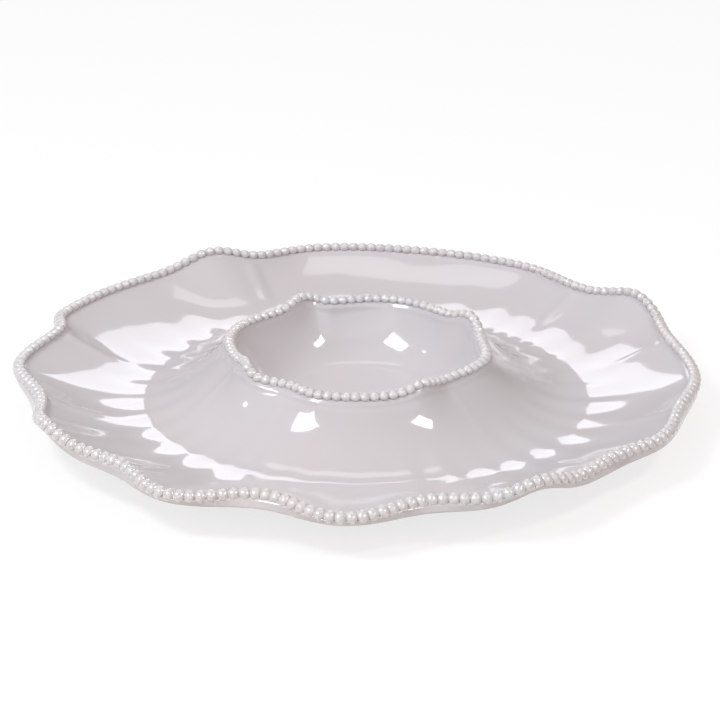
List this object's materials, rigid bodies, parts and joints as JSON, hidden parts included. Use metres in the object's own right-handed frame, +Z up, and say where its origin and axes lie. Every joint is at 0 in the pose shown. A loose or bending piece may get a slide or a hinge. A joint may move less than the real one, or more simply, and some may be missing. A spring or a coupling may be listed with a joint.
{
  "type": "chip and dip platter",
  "caption": "Round pearl-white serving platter with a ruffled, beaded flared rim, a wide ring-shaped chip well and a raised beaded dip bowl in the middle.",
  "frame": {"origin": "on the platter's upright axis, at the level of the table it stands on", "axes": "+Z up along the axis of the dip bowl; the pictured view looks along +Y, with +X to the right"},
  "size_m": [0.3794, 0.3837, 0.043],
  "materials": {
    "pearl_shell": "smooth high gloss with a faint pearl sheen",
    "pearl_bead": "high gloss pearl beads",
    "pearl_foot": "gloss with a rubbed standing edge"
  },
  "bodies": {
    "root": {"flared_rim": "pearl_shell", "chip_well": "pearl_shell", "bowl_skirt": "pearl_shell", "cup_wall": "pearl_shell", "cup_floor": "pearl_shell", "foot_ring": "pearl_foot", "rim_beading": "pearl_bead", "bowl_beading": "pearl_bead"}
  },
  "joints": []
}
